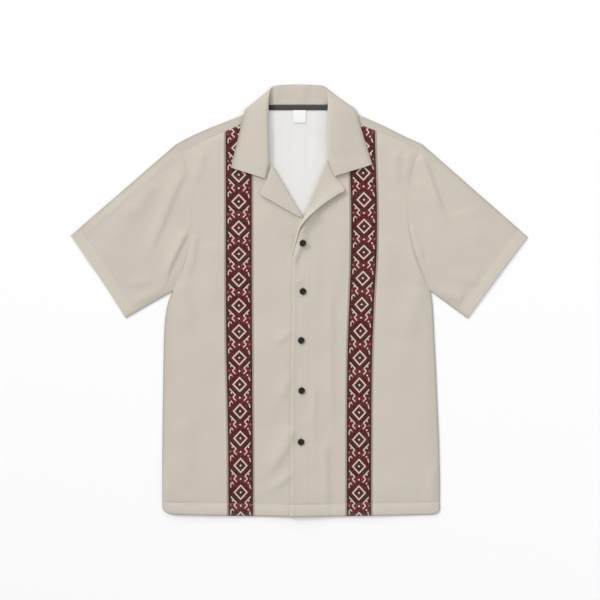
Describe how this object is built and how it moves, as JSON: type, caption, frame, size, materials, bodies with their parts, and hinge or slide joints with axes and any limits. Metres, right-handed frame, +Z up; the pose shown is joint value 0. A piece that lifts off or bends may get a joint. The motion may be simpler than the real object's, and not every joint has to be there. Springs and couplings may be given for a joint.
{
  "type": "cuban collar shirt",
  "caption": "Short-sleeved camp collar shirt laid flat and buttoned: open neck with turned-out lapels, wide sleeves, straight hem and a geometric stripe down each front.",
  "frame": {"origin": "on the surface that the shirt lies on, under the middle of its outline", "axes": "+Z up off the surface, +Y towards the collar, +X towards the wearer's left, which is on the right as one looks at the front"},
  "size_m": [0.823, 0.7771, 0.0102],
  "materials": {
    "cloth": "soft woven beige shirting with a fine slub, a printed geometric stripe on each front",
    "neck_tape": "matt charcoal twill tape",
    "label": "bare white woven satin label",
    "button": "black four-hole buttons with a soft shine"
  },
  "bodies": {
    "root": {"back": "cloth", "front_right": "cloth", "front_left": "cloth", "sleeve_right": "cloth", "sleeve_left": "cloth", "lapel_right": "cloth", "lapel_left": "cloth", "collar": "cloth", "neck_tape": "neck_tape", "neck_label": "label", "button_1": "button", "button_2": "button", "button_3": "button", "button_4": "button", "button_5": "button"}
  },
  "joints": []
}
